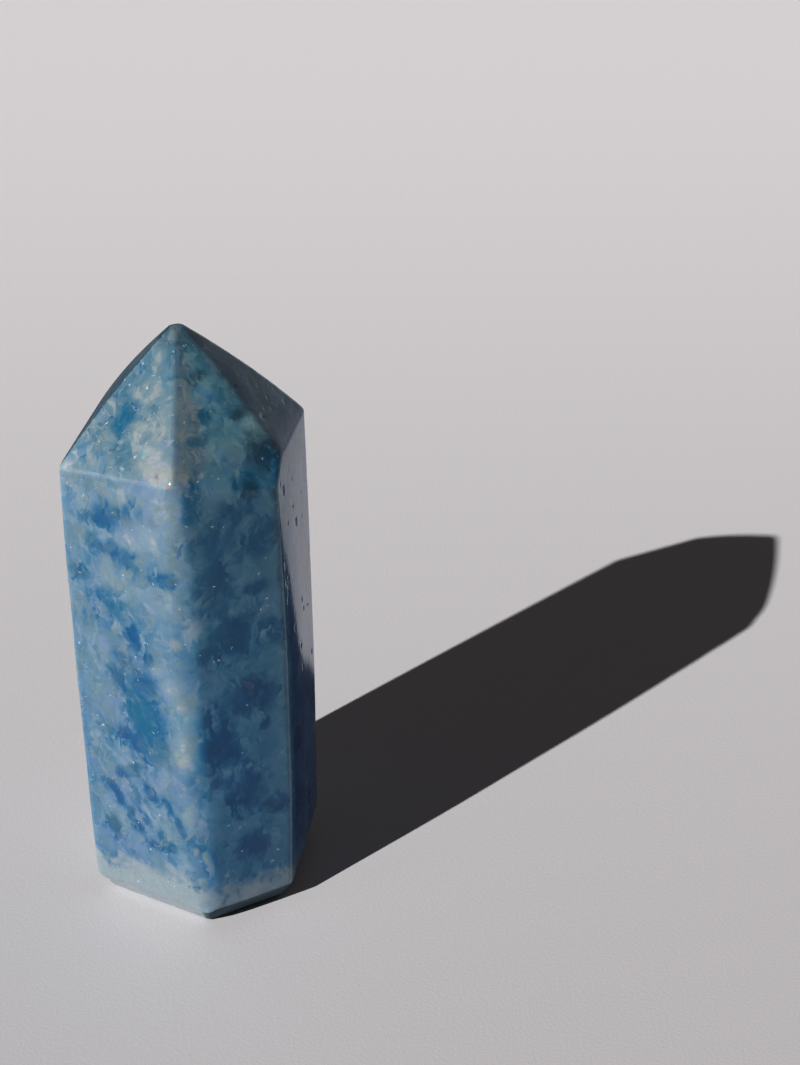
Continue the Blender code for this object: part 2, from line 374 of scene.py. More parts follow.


# ---------------------------------------------------------------- colour laid out one by one

# A patch of colour: how far round from the front edge, in degrees to the right, how high, how
# wide and how tall, and how far its top leans to the right, in degrees.
Patch = namedtuple("Patch", "turn height wide tall lean")
PATCHES = {
    "deep": (
        Patch(-95, 71.0 * MM, 16.0 * MM, 18.0 * MM, 0),
        Patch(51, 70.6 * MM, 3.6 * MM, 1.6 * MM, 0),
        Patch(44, 72.7 * MM, 2.2 * MM, 1.3 * MM, 0),
        Patch(46, 75.3 * MM, 1.8 * MM, 1.2 * MM, 0),
        Patch(23, 75.2 * MM, 2.2 * MM, 1.4 * MM, 0),
        Patch(14, 69.5 * MM, 2.4 * MM, 1.4 * MM, 0),
        Patch(-42, 70.2 * MM, 5.2 * MM, 3.6 * MM, 10),
        Patch(-32, 67.8 * MM, 3.6 * MM, 2.4 * MM, 30),
        Patch(-20, 72.5 * MM, 1.6 * MM, 1.0 * MM, 0),
        Patch(-40, 59.9 * MM, 3.4 * MM, 3.4 * MM, 0),
        Patch(-49, 58.8 * MM, 2.6 * MM, 1.8 * MM, 0),
        Patch(-27, 60.6 * MM, 2.0 * MM, 3.6 * MM, 0),
        Patch(-20, 61.3 * MM, 1.4 * MM, 3.0 * MM, 5),
        Patch(-47, 55.6 * MM, 2.2 * MM, 2.8 * MM, -30),
        Patch(-38, 55.2 * MM, 2.4 * MM, 2.6 * MM, 0),
        Patch(-27, 54.3 * MM, 3.4 * MM, 2.8 * MM, 15),
        Patch(-58, 50.5 * MM, 2.2 * MM, 2.6 * MM, 0),
        Patch(-9, 52.8 * MM, 4.2 * MM, 1.6 * MM, -10),
        Patch(-44, 48.4 * MM, 4.0 * MM, 2.6 * MM, -30),
        Patch(-40, 46.4 * MM, 3.6 * MM, 5.0 * MM, -35),
        Patch(-28, 43.4 * MM, 3.0 * MM, 4.0 * MM, -30),
        Patch(-36, 39.4 * MM, 2.0 * MM, 4.6 * MM, -28),
        Patch(-33, 37.0 * MM, 2.4 * MM, 3.6 * MM, -25),
        Patch(-28, 35.8 * MM, 5.6 * MM, 7.4 * MM, -25),
        Patch(-23, 31.0 * MM, 6.6 * MM, 8.0 * MM, -20),
        Patch(-29, 27.0 * MM, 6.4 * MM, 4.0 * MM, 25),
        Patch(-20, 40.6 * MM, 1.6 * MM, 2.0 * MM, 0),
        Patch(-35, 22.8 * MM, 4.6 * MM, 1.6 * MM, -35),
        Patch(-42, 16.4 * MM, 1.4 * MM, 3.4 * MM, -35),
        Patch(-48, 18.6 * MM, 1.2 * MM, 3.0 * MM, -38),
        Patch(-33, 18.8 * MM, 1.2 * MM, 3.2 * MM, -35),
        Patch(-36, 14.0 * MM, 1.4 * MM, 2.8 * MM, -40),
        Patch(-28, 15.0 * MM, 1.2 * MM, 3.4 * MM, -30),
        Patch(-24, 19.6 * MM, 1.4 * MM, 3.2 * MM, -30),
        Patch(-20, 13.6 * MM, 1.4 * MM, 2.8 * MM, -25),
        Patch(-15, 18.6 * MM, 1.2 * MM, 3.0 * MM, -28),
        Patch(-26, 11.6 * MM, 2.4 * MM, 1.4 * MM, 30),
        Patch(-14, 12.0 * MM, 1.4 * MM, 2.0 * MM, -30),
        Patch(-51, 12.4 * MM, 1.8 * MM, 3.2 * MM, -20),
        Patch(-8, 16.0 * MM, 1.4 * MM, 3.0 * MM, -20),
        Patch(7, 63.0 * MM, 2.0 * MM, 6.4 * MM, 4),
        Patch(19, 57.0 * MM, 6.4 * MM, 6.0 * MM, 0),
        Patch(16, 52.0 * MM, 4.6 * MM, 7.0 * MM, 0),
        Patch(37, 63.4 * MM, 3.2 * MM, 3.4 * MM, 0),
        Patch(28, 60.4 * MM, 4.2 * MM, 4.2 * MM, 0),
        Patch(43, 57.0 * MM, 3.4 * MM, 4.4 * MM, 0),
        Patch(37, 49.8 * MM, 3.4 * MM, 1.6 * MM, 0),
        Patch(18, 48.6 * MM, 4.6 * MM, 4.8 * MM, 0),
        Patch(23, 44.4 * MM, 7.2 * MM, 5.8 * MM, -15),
        Patch(46, 42.6 * MM, 3.2 * MM, 4.4 * MM, 0),
        Patch(9, 42.2 * MM, 1.8 * MM, 2.4 * MM, -15),
        Patch(30, 34.2 * MM, 8.4 * MM, 4.6 * MM, 0),
        Patch(15, 30.4 * MM, 4.0 * MM, 9.4 * MM, 0),
        Patch(38, 29.8 * MM, 1.4 * MM, 1.6 * MM, 0),
        Patch(16, 22.6 * MM, 3.0 * MM, 2.4 * MM, 10),
        Patch(25, 20.6 * MM, 6.2 * MM, 6.4 * MM, 0),
        Patch(43, 17.2 * MM, 3.8 * MM, 2.6 * MM, 25),
        Patch(28, 12.0 * MM, 4.2 * MM, 4.4 * MM, 0),
    ),
    "teal": (
        Patch(-43, 70.6 * MM, 2.4 * MM, 2.6 * MM, 0),
        Patch(-40, 46.8 * MM, 4.0 * MM, 3.4 * MM, -35),
        Patch(6, 62.4 * MM, 2.2 * MM, 6.0 * MM, 4),
        Patch(-26, 31.5 * MM, 5.0 * MM, 9.0 * MM, -20),
        Patch(20, 71.4 * MM, 3.0 * MM, 1.8 * MM, 0),
    ),
    "white": (
        Patch(-9, 67.0 * MM, 6.0 * MM, 2.8 * MM, 0),
        Patch(-16, 68.4 * MM, 4.4 * MM, 1.6 * MM, 0),
        Patch(-34, 77.0 * MM, 1.6 * MM, 1.6 * MM, 0),
        Patch(-41, 73.3 * MM, 1.6 * MM, 0.9 * MM, 0),
        Patch(-28, 70.6 * MM, 3.0 * MM, 0.9 * MM, 0),
        Patch(-60, 65.0 * MM, 3.8 * MM, 1.6 * MM, 0),
        Patch(13, 66.1 * MM, 1.0 * MM, 0.5 * MM, 0),
        Patch(-7, 62.4 * MM, 3.8 * MM, 5.6 * MM, 0),
        Patch(-15, 39.4 * MM, 3.6 * MM, 2.4 * MM, -30),
        Patch(-9, 37.2 * MM, 3.4 * MM, 3.2 * MM, -20),
        Patch(-3, 34.0 * MM, 3.2 * MM, 5.0 * MM, 0),
        Patch(-4, 28.4 * MM, 2.8 * MM, 5.4 * MM, 0),
        Patch(-39, 22.8 * MM, 1.2 * MM, 3.2 * MM, -35),
    ),
    "haze": (
        Patch(-5, 32.0 * MM, 4.6 * MM, 12.0 * MM, -4),
        Patch(9, 17.6 * MM, 1.8 * MM, 7.0 * MM, 0),
        Patch(11, 36.4 * MM, 3.4 * MM, 3.6 * MM, 0),
        Patch(-58, 63.4 * MM, 5.0 * MM, 4.0 * MM, 0),
        Patch(-53, 15.6 * MM, 2.0 * MM, 3.8 * MM, 0),
        Patch(-38, 12.0 * MM, 3.8 * MM, 1.8 * MM, 0),
        Patch(-8, 11.0 * MM, 3.0 * MM, 2.2 * MM, 0),
        Patch(-47, 24.5 * MM, 1.5 * MM, 7.0 * MM, -42),
        Patch(-36, 20.0 * MM, 1.4 * MM, 6.0 * MM, -35),
        Patch(-28, 16.6 * MM, 1.6 * MM, 7.0 * MM, -30),
        Patch(-20, 20.4 * MM, 1.4 * MM, 6.0 * MM, -30),
        Patch(-45, 14.0 * MM, 1.6 * MM, 6.0 * MM, -32),
        Patch(-13, 15.6 * MM, 1.6 * MM, 6.0 * MM, -25),
        Patch(-11, 23.0 * MM, 3.0 * MM, 5.0 * MM, -20),
        Patch(30, 73.3 * MM, 3.4 * MM, 1.8 * MM, 0),
        Patch(24, 68.0 * MM, 5.0 * MM, 1.8 * MM, 0),
        Patch(-8, 70.8 * MM, 4.6 * MM, 3.4 * MM, 0),
        Patch(-24, 74.6 * MM, 6.0 * MM, 3.6 * MM, 0),
        Patch(-60, 67.4 * MM, 3.6 * MM, 2.4 * MM, 0),
        Patch(-52, 66.6 * MM, 9.0 * MM, 3.0 * MM, 10),
        Patch(-33, 63.4 * MM, 8.0 * MM, 3.0 * MM, 0),
        Patch(-55, 61.5 * MM, 3.0 * MM, 6.0 * MM, 0),
        Patch(-24, 57.4 * MM, 8.0 * MM, 3.4 * MM, 0),
        Patch(-9, 57.5 * MM, 6.0 * MM, 5.0 * MM, 0),
        Patch(-31, 50.4 * MM, 9.0 * MM, 4.0 * MM, -10),
        Patch(-12, 49.0 * MM, 6.0 * MM, 6.0 * MM, 0),
        Patch(-53, 40.6 * MM, 4.4 * MM, 4.0 * MM, 0),
        Patch(-50, 33.0 * MM, 4.0 * MM, 8.0 * MM, -15),
        Patch(5, 55.5 * MM, 3.6 * MM, 5.0 * MM, 0),
        Patch(7, 50.5 * MM, 3.6 * MM, 5.0 * MM, 0),
        Patch(6, 45.0 * MM, 3.4 * MM, 5.6 * MM, 0),
        Patch(8, 72.6 * MM, 3.0 * MM, 3.4 * MM, 0),
        Patch(22, 64.2 * MM, 9.0 * MM, 3.0 * MM, 0),
        Patch(48, 30.0 * MM, 3.4 * MM, 40.0 * MM, 0),
    ),
    "slate": (
        Patch(55, 66.4 * MM, 5.0 * MM, 3.4 * MM, 0),
        Patch(52, 70.4 * MM, 2.6 * MM, 1.2 * MM, 0),
        Patch(28, 75.0 * MM, 2.0 * MM, 1.2 * MM, 0),
        Patch(38, 63.2 * MM, 2.8 * MM, 2.4 * MM, 0),
    ),
    "cream": (
        Patch(-5, 26.6 * MM, 2.2 * MM, 2.8 * MM, 0),
        Patch(-6, 66.6 * MM, 4.0 * MM, 1.8 * MM, 0),
        Patch(-1, 12.4 * MM, 0.6 * MM, 1.2 * MM, 0),
        Patch(-41, 73.3 * MM, 1.2 * MM, 0.6 * MM, 0),
        Patch(-5, 44.0 * MM, 1.6 * MM, 1.4 * MM, 0),
        Patch(-38, 57.2 * MM, 0.8 * MM, 0.5 * MM, 0),
        Patch(-37, 24.2 * MM, 0.8 * MM, 1.4 * MM, -35),
    ),
    "rust": (
        Patch(-49, 68.6 * MM, 0.5 * MM, 0.5 * MM, 0),
        Patch(-3, 65.9 * MM, 0.9 * MM, 0.6 * MM, 0),
        Patch(-21, 65.6 * MM, 0.5 * MM, 0.4 * MM, 0),
    ),
}
# The sides that face away are laid out by chance, as densely as the front.
CHANCE_COUNTS = {"deep": 80, "teal": 10, "white": 30, "haze": 24, "slate": 6,
                 "cream": 10, "rust": 4}
CHANCE_SIZES = {"deep": 5.0, "teal": 6.0, "white": 4.4, "haze": 8.0, "slate": 3.6,
                "cream": 2.0, "rust": 0.7}


def chance_patches(kind):
    """Patches of one kind on the sides that face away from the front."""
    dice = random.Random(kind)
    found = []
    for _ in range(CHANCE_COUNTS[kind]):
        wide = dice.uniform(0.4, 1.0) * CHANCE_SIZES[kind] * MM
        found.append(Patch(dice.uniform(62.0, 288.0), dice.uniform(6.0, 76.0) * MM, wide,
                           wide * dice.uniform(0.6, 1.6), dice.uniform(-35.0, 35.0)))
    return found


def patch_field(points, patches):
    """How deep each point lies in the nearest patch: one in its middle, nought on its rim."""
    around = np.arctan2(points[:, 1], points[:, 0])
    radius = np.hypot(points[:, 0], points[:, 1])
    field = np.full(len(points), -1.0)
    for patch in patches:
        offset = around - math.radians(FRONT + patch.turn)
        offset = (offset + math.pi) % (2 * math.pi) - math.pi
        side = offset * radius
        rise = points[:, 2] - patch.height
        lean = math.radians(patch.lean)
        wide = (side * math.cos(lean) - rise * math.sin(lean)) / (patch.wide / 2)
        tall = (side * math.sin(lean) + rise * math.cos(lean)) / (patch.tall / 2)
        field = np.maximum(field, 1.0 - np.hypot(wide, tall))
    return field


def smooth_step(value, low, high):
    """Nought below low, one above high, and a smooth rise between them, for arrays."""
    share = np.clip((value - low) / (high - low), 0.0, 1.0)
    return share * share * (3.0 - 2.0 * share)


def turns(points):
    """How far round from the front edge each point lies, in degrees to the right."""
    turn = np.degrees(np.arctan2(points[:, 1], points[:, 0])) - FRONT
    return (turn + 180.0) % 360.0 - 180.0


# The way the tip's left face looks, where painted shade darkens it.
MATT_AND_SHADED_AZIMUTH = 166.0
TIP_SLOPE = math.radians(42.0)


def shade_zone_field(points):
    """How much painted shade, with a deeper blue: one from the front edge round, and two on the
    right side.

    On the tip it starts a little beyond the edge.
    """
    turn = turns(points)
    start = 16.0 * smooth_step(points[:, 2], 60.0 * MM, 68.0 * MM) - 9.0
    side = 50.0 + 9.0 * smooth_step(points[:, 2], 61.0 * MM, 64.0 * MM)
    deepening = smooth_step(turn - start, 0.0, 24.0) + smooth_step(turn - side, 0.0, 12.0)
    return deepening * (1.0 - smooth_step(turn, 120.0, 160.0))


def worn_field(points):
    """One along the line where the tip meets the shaft, and nought beyond 0.45 mm of it.

    The face to the right of the front edge has none.
    """
    turn = turns(points)
    gap = np.full(len(points), 1.0)
    for number, face in enumerate(FACES):
        start = edge_point(FACES[number - 1], face, face.shoulder)
        after = FACES[(number + 1) % len(FACES)]
        end = edge_point(face, after, after.shoulder)
        line = np.array(end - start)
        offset = points - np.array(start)
        share = np.clip(offset @ line / (line @ line), 0.0, 1.0)
        gap = np.minimum(gap, np.linalg.norm(offset - share[:, None] * line, axis=1))
    covered = smooth_step(turn, 2.0, 6.0) * (1.0 - smooth_step(turn, 56.0, 64.0))
    return (1.0 - np.clip(gap / (0.45 * MM), 0.0, 1.0)) * (1.0 - covered)


def matt_and_shaded_field(mesh):
    """Painted shade: one on the tip's left face and under the foot's right side, and nought
    elsewhere.
    """
    points, facing = places(mesh), normals(mesh)
    across = outward(MATT_AND_SHADED_AZIMUTH) * math.cos(TIP_SLOPE) + UP * math.sin(TIP_SLOPE)
    tip = smooth_step(facing @ np.array(across), 0.82, 0.94) * (points[:, 2] > SHOULDER)
    turn = turns(points)
    below = smooth_step(-facing[:, 2], 0.15, 0.45) * (points[:, 2] < FOOT_RISE * 1.4)
    right = smooth_step(turn, -2.0, 4.0) * (1.0 - smooth_step(turn, 90.0, 120.0))
    return np.maximum(tip, below * right)


def paint(mesh, centring):
    """Stores the laid-out fields on the mesh, for the material to read."""
    points = places(mesh)
    fields = {"zone": shade_zone_field(points), "worn": worn_field(points - centring),
              "dull": matt_and_shaded_field(mesh)}
    for kind, patches in PATCHES.items():
        fields[kind] = patch_field(points, patches + tuple(chance_patches(kind)))
    for name, field in fields.items():
        layer = mesh.attributes.new(name, "FLOAT", "POINT")
        layer.data.foreach_set("value", field.astype(np.float32))


# ---------------------------------------------------------------- shader expressions

class Signal:
    """One output socket, on which plain arithmetic builds Math nodes."""

    def __init__(self, board, socket):
        self.board = board
        self.socket = socket

    def _math(self, operation, *values):
        return self.board.add("ShaderNodeMath", {"operation": operation}, dict(enumerate(values)))

    def __add__(self, other):
        return self._math("ADD", self, other)

    def __radd__(self, other):
        return self._math("ADD", other, self)

    def __sub__(self, other):
        return self._math("SUBTRACT", self, other)

    def __rsub__(self, other):
        return self._math("SUBTRACT", other, self)

    def __mul__(self, other):
        return self._math("MULTIPLY", self, other)

    def __rmul__(self, other):
        return self._math("MULTIPLY", other, self)

    def __gt__(self, other):
        return self._math("GREATER_THAN", self, other)

    def output(self, name):
        """Another output of the same node."""
        return Signal(self.board, self.socket.node.outputs[name])


class Board:
    """A node tree, with one method that adds any node."""

    def __init__(self, tree):
        self.tree = tree
        tree.nodes.clear()

    def add(self, kind, settings=None, values=None, output=0):
        """Adds a node: its settings or its ramp's stops, then its inputs' values or links."""
        node = self.tree.nodes.new(kind)
        for name, value in (settings or {}).items():
            if name == "stops":
                self._set_stops(node.color_ramp.elements, value)
            else:
                setattr(node, name, value)
        for key, value in (values or {}).items():
            if isinstance(value, Signal):
                self.tree.links.new(value.socket, node.inputs[key])
            else:
                node.inputs[key].default_value = value
        return Signal(self, node.outputs[output]) if output is not None else None

    @staticmethod
    def _set_stops(elements, stops):
        """Gives a ramp its stops, each a place and a colour. A new ramp has two."""
        elements[0].position, elements[0].color = stops[0]
        elements[1].position, elements[1].color = stops[-1]
        for place, colour in stops[1:-1]:
            elements.new(place).color = colour

    def add_output(self, shader):
        """Closes the material with its output node."""
        self.add("ShaderNodeOutputMaterial", {}, {"Surface": shader}, output=None)

    def attribute(self, name):
        return self.add("ShaderNodeAttribute", {"attribute_name": name}, output="Fac")

    def vector(self, operation, *values):
        return self.add("ShaderNodeVectorMath", {"operation": operation}, dict(enumerate(values)))

    def scaled(self, vector, size):
        settings = {"operation": "SCALE"}
        return self.add("ShaderNodeVectorMath", settings, {"Vector": vector, "Scale": size})

    def noise(self, vector, scale, detail=2.0, roughness=0.5, output="Fac"):
        values = {"Vector": vector, "Scale": scale, "Detail": detail, "Roughness": roughness}
        return self.add("ShaderNodeTexNoise", {}, values, output)

    def cells(self, vector, scale, feature="F1", output="Color", **more):
        values = {"Vector": vector, "Scale": scale, **more}
        return self.add("ShaderNodeTexVoronoi", {"feature": feature}, values, output)

    def step(self, value, low, high):
        """Nought below low, one above high, and a smooth rise between them."""
        values = {"Value": value, "From Min": low, "From Max": high}
        return self.add("ShaderNodeMapRange", {"interpolation_type": "SMOOTHSTEP"}, values)

    def part(self, vector, output):
        return self.add("ShaderNodeSeparateXYZ", {}, {"Vector": vector}, output)

    def blend(self, share, under, over):
        """One colour over another."""
        return self.add("ShaderNodeMix", {"data_type": "RGBA"}, {0: share, 6: under, 7: over}, 2)

    def shade(self, share, colour, factors):
        """A colour with its red, green and blue multiplied by factors, as far as a share says."""
        return self.blend(share, colour, self.vector("MULTIPLY", colour, factors))

    def ramp(self, value, stops):
        """A colour for each value, from a list of places and their colours."""
        return self.add("ShaderNodeValToRGB", {"stops": stops}, {"Fac": value})


# ---------------------------------------------------------------- the stone's material

def stone_coordinates(board):
    """Places on the stone in millimetres, plain and gently warped."""
    plain = board.add("ShaderNodeTexCoord", output="Object")
    plain = board.scaled(plain, 1.0 / MM)
    drift = board.noise(plain, 0.30, 2.0, 0.5, "Color")
    drift = board.vector("SUBTRACT", drift, (0.5, 0.5, 0.5))
    warped = board.vector("ADD", plain, board.scaled(drift, 4.0))
    flutter = board.noise(plain, 1.2, 1.0, 0.5, "Color")
    flutter = board.vector("SUBTRACT", flutter, (0.5, 0.5, 0.5))
    return plain, board.vector("ADD", warped, board.scaled(flutter, 0.6))


def grain_fields(board, warped):
    """Clouds, two sizes of crystal grains with their tints, and fine grain, around nought."""
    slanted = board.add("ShaderNodeMapping", {}, {
        "Vector": warped, "Rotation": (0.0, math.radians(-30.0), 0.0), "Scale": (1.35, 1.2, 0.66)})
    clouds = board.noise(warped, 0.26, 2.0, 0.55) - 0.5
    lumps = board.cells(slanted, 0.42)
    large = (board.part(lumps, 0) - 0.5) * (1.5 - board.step(lumps.output("Distance"), 0.2, 0.8))
    grains = board.cells(slanted, 0.95)
    middles = 1.5 - board.step(grains.output("Distance"), 0.2, 0.75) * 1.2
    small = (board.part(grains, 1) - 0.5) * middles
    fine = board.noise(slanted, 1.0, 2.0, 0.6) - 0.5
    return slanted, clouds, large, small, fine, board.part(grains, 2)


def patch_share(board, kind, ragged, low, high):
    """How much of a patch shows: its field, torn by the grain, with a soft rim."""
    return board.step(board.attribute(kind) + ragged, low, high)


def grain_rim_glints_and_shade(board, plain, warped, slanted, where):
    """Where the small grains' rims show, in short strokes: pale lines of painted glint and dark
    sides of painted shade.
    """
    rim = board.cells(slanted, 0.95, "DISTANCE_TO_EDGE", "Distance")
    pale = 1.0 - board.step(rim, 0.02, 0.15)
    dark = board.step(rim, 0.06, 0.12) * (1.0 - board.step(rim, 0.14, 0.24))
    broken = board.step(board.noise(warped, 1.3, 1.0), 0.50, 0.66)
    gathered = board.step(board.noise(plain, 0.28, 2.0) + where, 0.46, 0.62)
    return pale * broken * gathered, dark * broken * gathered


def stone_colour(board, plain, warped, colours):
    """The whole colour of the stone, from the ground up to its painted glints."""
    height = board.part(plain, 2)
    slanted, clouds, large, small, fine, tint = grain_fields(board, warped)
    ragged = clouds * 1.1 + large * 0.4 + small * 0.45 + fine * 0.4
    deep = patch_share(board, "deep", ragged, -0.64, 0.58)
    white = patch_share(board, "white", ragged * 1.5, -0.50, 0.85)
    white = white * (0.85 + small * 0.4 + fine * 1.2)
    haze = patch_share(board, "haze", ragged * 1.4, -0.5, 0.9)
    # The painted shade on the faces turned from the main light, torn by the clouds.
    zone = board.step(board.attribute("zone") + clouds * 1.6 + large * 0.35, 0.15, 0.85)
    upper = board.step(height + clouds * 40.0, 26.0, 58.0)
    tip = board.step(height + clouds * 6.0, 64.0, 68.0)
    apex = board.step(height + clouds * 4.0, 77.0, 79.4)
    shaft_shade_zone = zone * (1.0 - tip)

    # The ground: how blue each place is, from whitish to the deepest blue.
    # On the faces in painted shade the ground is a deeper blue with calmer clouds.
    depth = 0.52 - upper * 0.12 + zone * 0.15 - tip * (0.14 - zone * 0.03)
    depth = depth + deep * (0.36 - zone * (0.07 + tip * 0.07 + upper * 0.04))
    depth = depth - white * (0.34 + tip * 0.10) - haze * 0.14
    calm = 1.0 - zone * 0.35
    depth = depth + (clouds * 0.54 + large * 0.22 + small * (0.28 + tip * 0.08)) * calm
    depth = depth + fine * (0.12 + tip * 0.10) * (1.0 - zone * 0.5)
    colour = board.ramp(depth, (
        (0.02, colours.white), (0.18, colours.pale), (0.44, colours.ground),
        (0.62, colours.middle), (0.80, colours.blue), (1.0, colours.deep)))

    # Tints that drift through it.
    lilac = board.noise(plain, 0.18, 2.0) - upper * 0.09 + (tint - 0.5) * 0.26
    lilac = board.step(lilac, 0.42, 0.62) * (0.31 - deep * 0.20 - zone * 0.075)
    colour = board.blend(lilac, colour, colours.lilac)
    moss = board.noise(warped, 0.24, 2.0) + tip * 0.20 - (tint - 0.5) * 0.30 + apex * 0.4
    moss = board.step(moss, 0.44, 0.68) * (1.0 - shaft_shade_zone * 0.8) * 0.36
    colour = board.blend(moss, colour, colours.moss)

    # Painted shade: the faces to the right of the front edge, turned from the main light, are
    # darker, cooler and a deeper blue.
    colour = board.shade(shaft_shade_zone, colour, (0.63, 0.93, 0.98))
    colour = board.shade(shaft_shade_zone * upper, colour, (1.20, 0.99, 0.92))
    colour = board.shade(zone * tip, colour, (0.92, 1.13, 1.12))
    colour = board.scaled(colour, 1.0 + zone * (0.67 - depth) * 0.40)

    # Patches and spots of their own colour, and the band at the foot.
    teal = patch_share(board, "teal", ragged, -0.5, 0.8)
    colour = board.blend(teal * 0.8, colour, colours.teal)
    slate = patch_share(board, "slate", ragged, -0.5, 0.7)
    colour = board.blend(slate * 0.65, colour, colours.slate)
    foot = 1.0 - board.step(height + clouds * 9.0 + small * 1.2 + zone * 1.5, 5.4, 8.6)
    colour = board.blend(foot * (0.88 - zone * 0.25), colour, colours.foot)
    cream = patch_share(board, "cream", ragged * 1.5, -0.5, 0.9)
    colour = board.blend(cream * 0.45, colour, colours.cream)
    rust = patch_share(board, "rust", ragged * 0.4, -0.4, 0.5)
    colour = board.blend(rust * 0.5, colour, colours.rust)

    # The grains' rims with painted glints and painted shade, painted shade on the right side,
    # grit, the worn line and the painted glints of the specks.
    # Painted glints on the rims' pale lines and painted shade on their dark sides, as tiny relief
    # would catch the light.
    pale, dark = grain_rim_glints_and_shade(board, plain, warped, slanted, tip * 0.12 - zone * 0.05 - deep * 0.10)
    colour = board.blend(pale * (0.30 + tip * 0.18 - zone * 0.18), colour, colours.white)
    # Painted shade: the right side, which faces away from the main light, is darker and bluer.
    side = board.step(board.attribute("zone") + clouds, 1.1, 1.9)
    colour = board.shade(side * (1.0 - tip * 0.4), colour, (0.37, 0.60, 0.87))
    grit = fine * 0.20 + (board.noise(plain, 2.4, 1.0) - 0.5) * 0.12
    grit = grit * (1.0 - deep * 0.7) * (1.0 - zone * 0.6)
    colour = board.scaled(colour, (1.0 + grit - dark * 0.24) * (1.0 - apex * 0.28))
    worn = board.step(board.attribute("worn") + fine * 1.2 + small * 0.35, 0.50, 0.95)
    colour = board.blend(worn * 0.35, colour, colours.white)
    # Painted glints: tiny bright specks, more on the tip and fewer on the shaded side.
    painted_glints = painted_glint_share(board, plain, tip * 0.06 - zone * 0.03)
    return board.blend(painted_glints, colour, colours.painted_glint)


def painted_glint_share(board, plain, where):
    """Painted glints: tiny bright specks, one in some of the cells of a grid: more of them where
    told.
    """
    shaken = board.noise(plain, 2.0, 1.0, 0.5, "Color")
    cells = board.cells(board.vector("ADD", plain, board.scaled(shaken, 0.9)), 1.35)
    near = cells.output("Distance")
    gathered = board.step(board.noise(plain, 0.35, 1.0), 0.42, 0.6)
    chance = board.part(cells, 0) + gathered * 0.09 + where
    return (1.0 - board.step(near, 0.07, 0.25)) * (chance > 0.970) * 0.85


def new_material(name):
    """A material with an empty node tree, and the board that fills it."""
    material = bpy.data.materials.new(name)
    material.use_nodes = True
    return material, Board(material.node_tree)


def principled(board, values):
    return board.add("ShaderNodeBsdfPrincipled", {}, values)


def stone_material(colours, finish):
    """Polished, slightly translucent blue stone, matt and darker with painted shade on the tip's
    left face and under the foot's right side.
    """
    material, board = new_material("polished_blue_stone")
    plain, warped = stone_coordinates(board)
    dents = board.noise(plain, 0.35, 3.0, 0.6)
    relief = board.add("ShaderNodeBump", {}, {
        "Strength": 1.0, "Distance": finish.relief, "Height": dents})
    rough = finish.roughness + (board.noise(plain, 0.8, 3.0, 0.6) - 0.5) * 0.10
    rough = rough + board.attribute("worn") * 0.5
    colour = stone_colour(board, plain, warped, colours)
    polished = principled(board, {
        "Base Color": colour, "Roughness": rough,
        "Normal": relief, "IOR": finish.ior, "Subsurface Weight": finish.translucency,
        "Subsurface Radius": (0.7, 0.95, 1.2), "Subsurface Scale": finish.glow_depth})
    # Painted shade: the tip's left face and the foot's shaded underside get a darker colour and a
    # matt finish.
    dark = board.blend(0.75, colour, board.vector("MULTIPLY", colour, colours.dull[:3]))
    dull = principled(board, {"Base Color": dark, "Roughness": 0.7, "IOR": 1.1})
    share = board.step(board.attribute("dull") + dents * 0.8, 0.5, 1.1) * 0.9
    board.add_output(board.add("ShaderNodeMixShader", {}, {0: share, 1: polished, 2: dull}))
    return material


# ---------------------------------------------------------------- settings

def colour_property(name, description, default):
    return FloatVectorProperty(name=name, description=description, default=default, size=4,
                               min=0.0, max=1.0, subtype="COLOR")


class StoneColours(bpy.types.PropertyGroup):
    """The stone's colours."""

    white: colour_property("White", "The whitish clouds", tone(168, 175, 180))
    pale: colour_property("Pale", "The palest part of the ground", tone(138, 159, 172))
    ground: colour_property("Ground", "The cloudy ground", tone(107, 141, 164))
    middle: colour_property("Middle", "Between the ground and the blue", tone(81, 128, 157))
    blue: colour_property("Blue", "The blue grains", tone(43, 111, 150))
    deep: colour_property("Deep", "The deepest blue", tone(0, 92, 140))
    lilac: colour_property("Lilac", "A cool tint in parts of the ground", tone(122, 140, 174))
    moss: colour_property("Moss", "A greenish grey tint, mostly near the tip", tone(116, 136, 132))
    teal: colour_property("Teal", "The greenish blue patches", tone(24, 110, 142))
    slate: colour_property("Slate", "The dark grey-green patches", tone(46, 72, 86))
    foot: colour_property("Foot", "The grey-white band at the foot", tone(155, 166, 170))
    cream: colour_property("Cream", "The cream spots", tone(174, 171, 160))
    rust: colour_property("Rust", "The small rusty spots", tone(168, 140, 124))
    # Painted shade: this colour darkens the tip's left face and the foot's shaded underside, which
    # are also matt.
    dull: colour_property("Dull", "What darkens the parts that aren't polished",
                          tone(80, 100, 110))
    # Painted glints: the colour of the tiny bright specks.
    painted_glint: colour_property("Sparkle", "The tiny bright specks", tone(205, 215, 220))


class StoneFinish(bpy.types.PropertyGroup):
    """The stone's mesh and polish."""

    grain: FloatProperty(name="Grain", description="The side of the mesh's squares",
                         default=0.32 * MM, unit="LENGTH")
    roughness: FloatProperty(name="Roughness", description="How dull the polish is",
                             default=0.10, subtype="FACTOR")
    ior: FloatProperty(name="Index", description="The stone's index of refraction", default=1.54)
    relief: FloatProperty(name="Relief", description="The height of the finest dents",
                          default=0.03 * MM, unit="LENGTH")
    translucency: FloatProperty(name="Translucency", description="How much light enters",
                                default=0.8, subtype="FACTOR")
    glow_depth: FloatProperty(name="Glow depth", description="How far light spreads inside",
                              default=2.6 * MM, unit="LENGTH")


